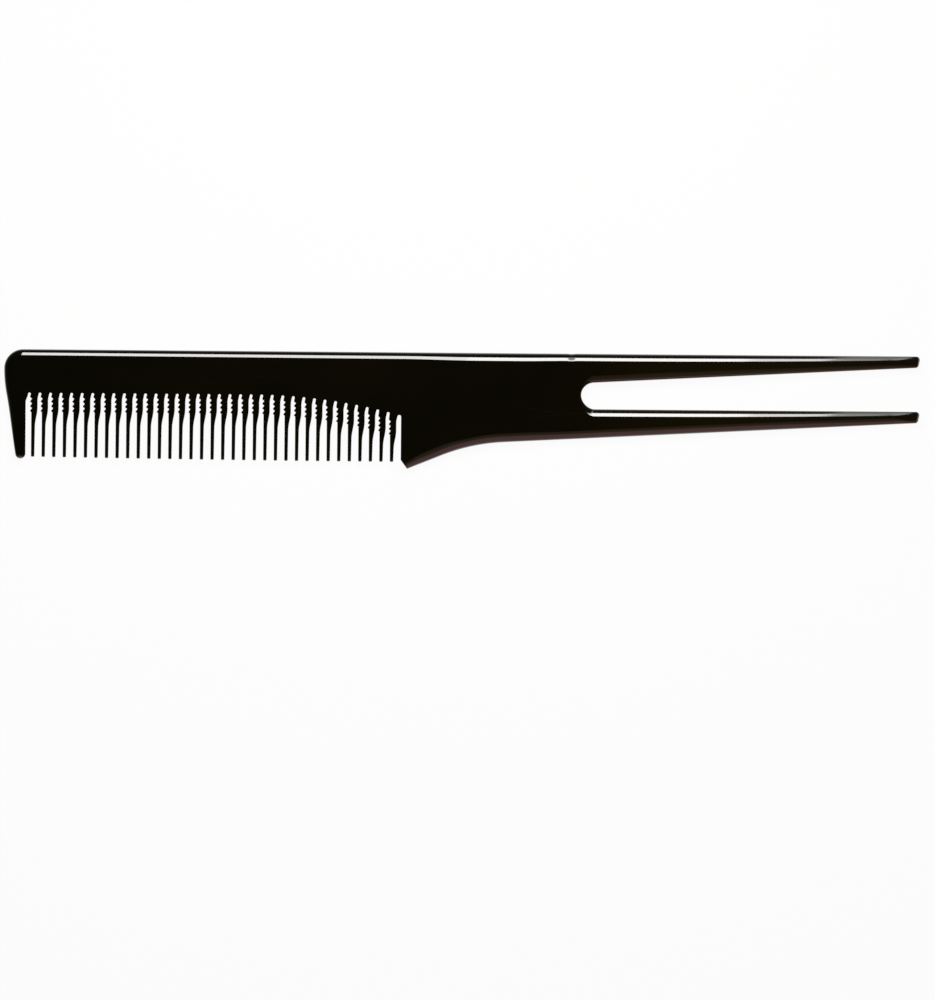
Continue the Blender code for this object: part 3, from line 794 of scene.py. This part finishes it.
def tooth_row_tree(sizes, plastic):
    """Nodes that make the whole row of fine teeth from named sizes."""
    tree = bpy.data.node_groups.new("fine_tooth_row", "GeometryNodeTree")
    tree.interface.new_socket("Geometry", in_out="OUTPUT", socket_type="NodeSocketGeometry")
    for name, value in sizes.items():
        kind = "NodeSocketInt" if isinstance(value, int) else "NodeSocketFloat"
        tree.interface.new_socket(name, in_out="INPUT", socket_type=kind)
    given = Wire.node(tree, "NodeGroupInput")
    size = {name: Wire(given.outputs[name]) for name in sizes}
    made = maker(tree)

    serration_steps = 16
    serrated_levels = 64
    waist_levels = 8
    shaft_levels = 5
    tip_levels = 6
    levels = serrated_levels + waist_levels + shaft_levels + tip_levels
    corner_points = 5
    half_ring = 2 * corner_points + 1

    blank = made(
        "GeometryNodeMeshCylinder",
        "Mesh",
        {"fill_type": "NGON"},
        {"Vertices": 2 * half_ring, "Side Segments": levels, "Radius": 1.0, "Depth": 1.0},
    )
    row = made(
        "GeometryNodeMeshLine",
        "Mesh",
        {"mode": "OFFSET"},
        {"Count": size["Tooth Count"], "Offset": (0.0, 0.0, 0.0)},
    )
    numbered = made(
        "GeometryNodeStoreNamedAttribute",
        "Geometry",
        {"data_type": "FLOAT", "domain": "POINT"},
        {"Geometry": row, "Name": "tooth_number", "Value": made("GeometryNodeInputIndex", 0)},
    )
    placed = made(
        "GeometryNodeInstanceOnPoints", "Instances", None, {"Points": numbered, "Instance": blank}
    )
    realised = made("GeometryNodeRealizeInstances", "Geometry", None, {"Geometry": placed})
    number = made(
        "GeometryNodeInputNamedAttribute", "Attribute", {"data_type": "FLOAT"}, {"Name": "tooth_number"}
    )
    spot = Wire.node(tree, "ShaderNodeSeparateXYZ", None, {0: made("GeometryNodeInputPosition", 0)})
    blank_x, blank_y, blank_z = (Wire(output) for output in spot.outputs)

    # Where this tooth stands, and how deep its two feet and its tip lie
    def root_line(along):
        past = (along - size["Root Bend Start"]).most(0.0)
        radius = size["Root Bend Radius"]
        return size["Root Depth"] + radius - (radius * radius - past * past).root()

    flank = size["First Flank"] + number * size["Tooth Pitch"]
    left_reach = size["Serration Height"] / 2
    left_radius = size["Gap Width"] / 2
    is_last = number > size["Tooth Count"] - 1.5
    right_radius = (size["Gap Width"] + left_reach * is_last) / 2
    left_foot = root_line(flank - left_reach - left_radius) + left_radius
    right_foot = root_line(flank + size["Root Width"] + right_radius) + right_radius
    drop = right_foot - left_foot
    rise = (1 - flank / size["Tip Rise Span"]).most(0.0)
    tip_depth = size["Tip Depth"] - size["Tip Rise"] * rise * rise
    length = tip_depth - right_foot

    # Level of each point down the tooth, as depth below the right foot
    level = ((blank_z + 0.5) * levels + 0.5).floor()
    step = size["Serration Pitch"] / serration_steps
    last_valley = size["Last Serration"] + size["Serration Fall"] * size["Serration Pitch"]
    waist_end = size["Block Length"] + size["Waist Length"]
    serrated = (last_valley - (serrated_levels - level).most(0.0) * step).most(0.0) * (level > 0.5)
    waist = ((level - serrated_levels) / waist_levels).held()
    shaft = ((level - (serrated_levels + waist_levels)) / shaft_levels).held()
    tip = ((level - (levels - tip_levels)) / tip_levels).most(0.0)
    turn = tip * TOOTH_TIP_TURN
    below = serrated + waist * (waist_end - last_valley) + shaft * (length - size["Tip Round"] - waist_end)
    below = below + size["Tip Round"] * turn.sine()

    # Plain flank on the right: flared root, block, waist and shaft
    flare = ((below / size["Root Flare Length"]).least(1.0) * (math.pi / 2)).sine()
    block = flare.to(size["Root Width"], size["Block Width"])
    waist_share = ((below - size["Block Length"]) / size["Waist Length"]).held()
    drawn_in = (1 - (waist_share * math.pi).cosine()) / 2
    slimmed = drawn_in.to(block, size["Shaft Width"] - size["Shaft Step"])
    right_side = slimmed - shaft * (size["Shaft Width"] - size["Tip Width"])

    # Saw edge on the left, which starts at the left foot
    fade = 1 - below.eased(0.0, size["Seat Blend"])
    left_below = below - drop * fade
    from_last = (size["Last Serration"] - left_below) / size["Serration Pitch"]
    long_side = 1 - size["Serration Fall"]
    phase = from_last % 1.0
    saw = (1 - phase / long_side).most((phase - long_side) / size["Serration Fall"])
    saw = saw * (1 - SAW_SOFTNESS) + saw * saw * (3 - 2 * saw) * SAW_SOFTNESS
    points = ((size["Last Serration"] + drop - size["Least Serration"]) / size["Serration Pitch"]).floor()
    first_point = size["Last Serration"] - points * size["Serration Pitch"]
    above_first = left_below < first_point
    to_first = (1 + ((left_below + drop) / (first_point + drop)).held()) / 2
    saw = above_first.to(saw, to_first) * (from_last > -size["Serration Fall"])
    left_side = -(size["Serration Height"] * saw).most(size["Shaft Step"] * (from_last < 0.0))

    # Section: rounded corners, slimmer at the faces than at the parting line
    narrowing = turn.cosine()
    half_width = (right_side - left_side) / 2 * narrowing.to(BLUNT_WIDTH, 1.0)
    centre = (right_side + left_side) / 2
    share = (below / length).least(1.0)
    root_thickness = (flank / size["Heel Edge"]).to(size["Free End Thickness"], size["Heel Thickness"])
    full_thickness = share.to(root_thickness, size["Tip Thickness"])
    half_thickness = full_thickness / 2 * narrowing.to(BLUNT_THICKNESS, 1.0)
    corner = below.eased(0.0, size["Round Length"]).to(size["Root Round"], size["Shaft Round"])
    corner = corner.least(half_width * ROUND_LIMIT)
    draft = (size["Draft"] * below.eased(0.0, size["Draft Length"])).least(half_width * DRAFT_LIMIT)

    angle = blank_x.sum("ARCTAN2", blank_y, blank_x)
    place = (angle / (2 * math.pi) * (2 * half_ring) + 0.5).floor() % (2.0 * half_ring)
    second_half = place > half_ring - 0.5
    flip = 1 - 2 * second_half
    place = place - half_ring * second_half - 1
    quarter = (place / corner_points).floor()
    bow = (quarter + (place - quarter * corner_points) / (corner_points - 1.0)) * (math.pi / 2)
    side = 1 - 2 * quarter.most(0.0)
    on_face = (quarter + 1).least(1.0)
    across = (side * (half_width - draft * on_face - corner) + corner * bow.cosine()) * flip
    height = (on_face * (half_thickness - corner) + corner * bow.sine()) * flip

    # The seat follows the root line, so the left part of the upper rings climbs to the left foot
    left_share = (size["Root Width"] - centre - across) / (size["Root Width"] + left_reach)
    depth = right_foot + below - drop * fade * left_share
    position = made(
        "ShaderNodeCombineXYZ",
        0,
        None,
        {"X": flank + centre + across + FREE_END, "Y": BACK_EDGE - depth, "Z": height + MIDDLE},
    )
    shaped = made("GeometryNodeSetPosition", "Geometry", None, {"Geometry": realised, "Position": position})
    coated = made("GeometryNodeSetMaterial", "Geometry", None, {"Geometry": shaped, "Material": plastic})
    Wire.node(tree, "NodeGroupOutput", None, {"Geometry": coated})
    return tree


def tooth_row_mesh(plastic):
    sizes = {
        "Tooth Count": TOOTH_COUNT,
        "Tooth Pitch": TOOTH_PITCH,
        "First Flank": FIRST_FLANK,
        "Root Depth": ROOT_DEPTH,
        "Root Bend Start": ROOT_BEND_START,
        "Root Bend Radius": ROOT_BEND_RADIUS,
        "Gap Width": GAP_WIDTH,
        "Tip Depth": TIP_DEPTH + ROW_EXTRA,
        "Tip Rise": TIP_RISE,
        "Tip Rise Span": TIP_RISE_SPAN,
        "Root Width": ROOT_WIDTH,
        "Block Width": BLOCK_WIDTH,
        "Shaft Width": SHAFT_WIDTH,
        "Tip Width": TIP_WIDTH,
        "Shaft Step": SHAFT_STEP,
        "Root Flare Length": ROOT_FLARE_LENGTH,
        "Block Length": BLOCK_LENGTH,
        "Waist Length": WAIST_LENGTH,
        "Serration Pitch": SERRATION_PITCH,
        "Serration Height": SERRATION_HEIGHT,
        "Serration Fall": SERRATION_FALL,
        "Last Serration": LAST_SERRATION,
        "Least Serration": LEAST_SERRATION,
        "Free End Thickness": GUARD_THICKNESS,
        "Heel Thickness": HEEL_THICKNESS,
        "Heel Edge": HEEL_EDGE,
        "Tip Thickness": TOOTH_TIP_THICKNESS,
        "Root Round": GAP_ROUND,
        "Shaft Round": SHAFT_ROUND,
        "Round Length": ROUND_LENGTH,
        "Tip Round": TOOTH_TIP_ROUND,
        "Draft": TOOTH_DRAFT,
        "Draft Length": DRAFT_LENGTH,
        "Seat Blend": SEAT_BLEND,
    }
    tree = tooth_row_tree(sizes, plastic)
    carrier = bpy.data.objects.new("tooth_row_carrier", bpy.data.meshes.new("tooth_row_carrier"))
    row = carrier.modifiers.new("fine teeth", "NODES")
    row.node_group = tree
    for socket in tree.interface.items_tree:
        if socket.in_out == "INPUT":
            row[socket.identifier] = sizes[socket.name]
    bpy.context.scene.collection.objects.link(carrier)
    graph = bpy.context.evaluated_depsgraph_get()
    mesh = bpy.data.meshes.new_from_object(carrier.evaluated_get(graph))
    bpy.data.objects.remove(carrier)
    for name in [layer.name for layer in mesh.attributes if layer.name in ("tooth_number", "UVMap")]:
        mesh.attributes.remove(mesh.attributes[name])
    shape = bmesh.new()
    shape.from_mesh(mesh)
    bmesh.ops.recalc_face_normals(shape, faces=shape.faces)
    shape.to_mesh(mesh)
    shape.free()
    return mesh


def black_plastic():
    """Glossy moulded black: slightly uneven polish, hairline scratches and duller tips."""
    material = bpy.data.materials.new("black_plastic")
    material.use_nodes = True
    tree = material.node_tree
    shader = tree.nodes["Principled BSDF"]
    made = maker(tree)
    place = made("ShaderNodeTexCoord", "Object")
    spot = Wire.node(tree, "ShaderNodeSeparateXYZ", None, {0: place})
    along = Wire(spot.outputs["X"]) - FREE_END
    depth = BACK_EDGE - Wire(spot.outputs["Y"])

    def noise(scale, detail, rough, stretch=(1, 1, 1), turn=0.0):
        rotation = (0, 0, math.radians(turn))
        mapped = made(
            "ShaderNodeMapping", 0, None, {"Vector": place, "Rotation": rotation, "Scale": stretch}
        )
        return made(
            "ShaderNodeTexNoise",
            "Fac",
            None,
            {"Vector": mapped, "Scale": scale, "Detail": detail, "Roughness": rough},
        )

    # Hairlines lie in patches, mostly along the comb as a hand wipes it
    hairlines = None
    for turn, squeeze in HAIRLINE_LAYERS:
        strokes = noise(*STROKES, (squeeze, 1, squeeze), turn).eased(*STROKE_RANGE)
        layer = strokes * noise(*PATCHES, turn=turn).eased(*PATCH_RANGE)
        hairlines = layer if hairlines is None else hairlines.most(layer)

    prong_tips = along.eased(LENGTH - PRONG_WEAR, LENGTH)
    tooth_tips = depth.eased(TIP_DEPTH - TOOTH_WEAR, TIP_DEPTH) * (along < HEEL_EDGE)
    wear = prong_tips.most(tooth_tips) * noise(*WEAR).eased(*WEAR_RANGE)
    gate_x = (along - GATE_PLACE) / GATE_HALF_LENGTH
    gate_y = (depth - GATE_INSET) / GATE_HALF_WIDTH
    scar = 1 - (gate_x * gate_x + gate_y * gate_y).eased(*SCAR_RANGE)
    cloud = noise(*CLOUD)
    grain = noise(*GRAIN)

    mottling = (cloud * CLOUD_SHARE + grain * (1 - CLOUD_SHARE)).eased(*CLOUD_RANGE)
    tail = along.eased(FORK_ROOT - HANDLED_BEFORE, FORK_ROOT + HANDLED_AFTER)
    tone = tail.mixed(mottling.mixed(DEEP_BLACK, PALE_BLACK), HANDLED_BROWN)
    worn = (wear * WEAR_TINT + hairlines * HAIRLINE_TINT).held().mixed(tone, RUBBED_GREY)
    tree.links.new(worn.socket, shader.inputs["Base Color"])

    roughness = POLISH + CLOUD_DULLING * cloud.eased(*CLOUD_RANGE) + HAIRLINE_DULLING * hairlines
    roughness = roughness + WEAR_DULLING * wear + SCAR_DULLING * scar
    tree.links.new(roughness.socket, shader.inputs["Roughness"])
    tree.links.new((1 - SCAR_COAT_LOSS * scar).socket, shader.inputs["Coat Weight"])
    shader.inputs["Coat Roughness"].default_value = COAT_ROUGHNESS
    shader.inputs["IOR"].default_value = PLASTIC_IOR

    relief = noise(*RIPPLE) * RIPPLE_RELIEF + grain * GRAIN_RELIEF - hairlines * HAIRLINE_RELIEF
    bump = made(
        "ShaderNodeBump",
        0,
        None,
        {"Strength": RELIEF_STRENGTH, "Distance": RELIEF_HEIGHT, "Height": relief},
    )
    tree.links.new(bump.socket, shader.inputs["Normal"])
    return material


def white_table():
    """White to the camera and in reflections, with a faint shadow under the comb."""
    material = bpy.data.materials.new("white_table")
    material.use_nodes = True
    tree = material.node_tree
    tree.nodes.clear()
    made = maker(tree)
    path = Wire.node(tree, "ShaderNodeLightPath")
    seen = Wire(path.outputs["Is Camera Ray"])
    for kind in ("Is Glossy Ray", "Is Transmission Ray"):
        seen = seen.most(Wire(path.outputs[kind]))
    matt = made("ShaderNodeBsdfDiffuse", 0, None, {"Color": TABLE_GREY})
    white = made("ShaderNodeEmission", 0, None, {"Color": WHITE, "Strength": 1.0})
    surface = made("ShaderNodeMixShader", 0, None, {0: seen * TABLE_GLOW, 1: matt, 2: white})
    Wire.node(tree, "ShaderNodeOutputMaterial", None, {"Surface": surface})
    return material


def table():
    size = TABLE_HALF_SIZE
    corners = [(-size, -size, 0), (size, -size, 0), (size, size, 0), (-size, size, 0)]
    mesh = bpy.data.meshes.new("table_top")
    mesh.from_pydata(corners, [], [(0, 1, 2, 3)])
    mesh.materials.append(white_table())
    floor = bpy.data.objects.new("table_top", mesh)
    floor.location.z = cad_box[0].z - TABLE_CLEARANCE
    bpy.context.scene.collection.objects.link(floor)


def panel(name, stretch, lean, distance, height, radiance, colour):
    """A flat lamp along the comb that faces its back edge, leant away from straight overhead."""
    start, end = stretch
    data = bpy.data.lights.new(name, "AREA")
    data.shape = "RECTANGLE"
    data.size = end - start
    data.size_y = height
    data.energy = radiance * math.pi * data.size * data.size_y
    data.color = colour
    tilt = math.radians(lean)
    piece = bpy.data.objects.new(name, data)
    piece.location = ((start + end) / 2, BACK_EDGE + distance * math.sin(tilt), distance * math.cos(tilt))
    piece.rotation_euler = (-tilt, 0.0, 0.0)
    piece.visible_camera = False
    bpy.context.scene.collection.objects.link(piece)


def studio():
    """A panel above the back edge that dims towards the prong tips, warm cards in front and a dim room."""
    for start, end, radiance in KEY_STRETCHES:
        panel("key_panel", (start, end), radiance=radiance, **KEY_PANEL)
    panel("tip_card", TIP_STRETCH, **TIP_CARD)
    for name, card in FRONT_CARDS.items():
        panel(name, FRONT_STRETCH, distance=FRONT_DISTANCE, **card)
    world = bpy.data.worlds.new("dim_room")
    world.use_nodes = True
    tree = world.node_tree
    made = maker(tree)
    path = Wire.node(tree, "ShaderNodeLightPath")
    seen = Wire(path.outputs["Is Camera Ray"]).most(Wire(path.outputs["Is Transmission Ray"]))
    heading = made("ShaderNodeTexCoord", "Generated")
    low = 1 - made("ShaderNodeSeparateXYZ", "Z", None, {0: heading}).held()
    room = (low * low).mixed(ROOM_OVERHEAD, ROOM_SIDES)
    tree.links.new(seen.mixed(room, WHITE).socket, tree.nodes["Background"].inputs["Color"])
    bpy.context.scene.world = world


def camera():
    """Straight above the comb, which lies turned by half a degree in the picture."""
    data = bpy.data.cameras.new("overhead")
    data.sensor_fit = "HORIZONTAL"
    data.sensor_width = SENSOR_WIDTH
    data.lens = SENSOR_WIDTH * CAMERA_DISTANCE / PICTURE_WIDTH
    data.clip_end = CAMERA_REACH
    piece = bpy.data.objects.new("overhead", data)
    piece.location = (*PICTURE_CENTRE, MIDDLE + CAMERA_DISTANCE)
    piece.rotation_euler = (0.0, 0.0, PICTURE_TURN)
    bpy.context.scene.collection.objects.link(piece)
    bpy.context.scene.camera = piece


camera()
plastic = black_plastic()
moulded_pieces = [
    ("moulded_spine", spine_mesh(), ["spine"]),
    ("moulded_guard_tooth", guard_mesh(), ["end_guard_tooth"]),
    ("moulded_shank", shank_mesh(), ["shank"]),
    ("moulded_upper_prong", prong_mesh(0.0, bevelled=False), ["upper_prong"]),
    ("moulded_lower_prong", prong_mesh(PRONG_PITCH, bevelled=True), ["lower_prong"]),
    ("fine_tooth_row", tooth_row_mesh(plastic), tooth_nodes),
]
for name, mesh, nodes in moulded_pieces:
    piece = finished(name, mesh, plastic)
    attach(piece, "root")
    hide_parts(*nodes)
table()
studio()

bpy.context.scene.view_settings.view_transform = "Standard"
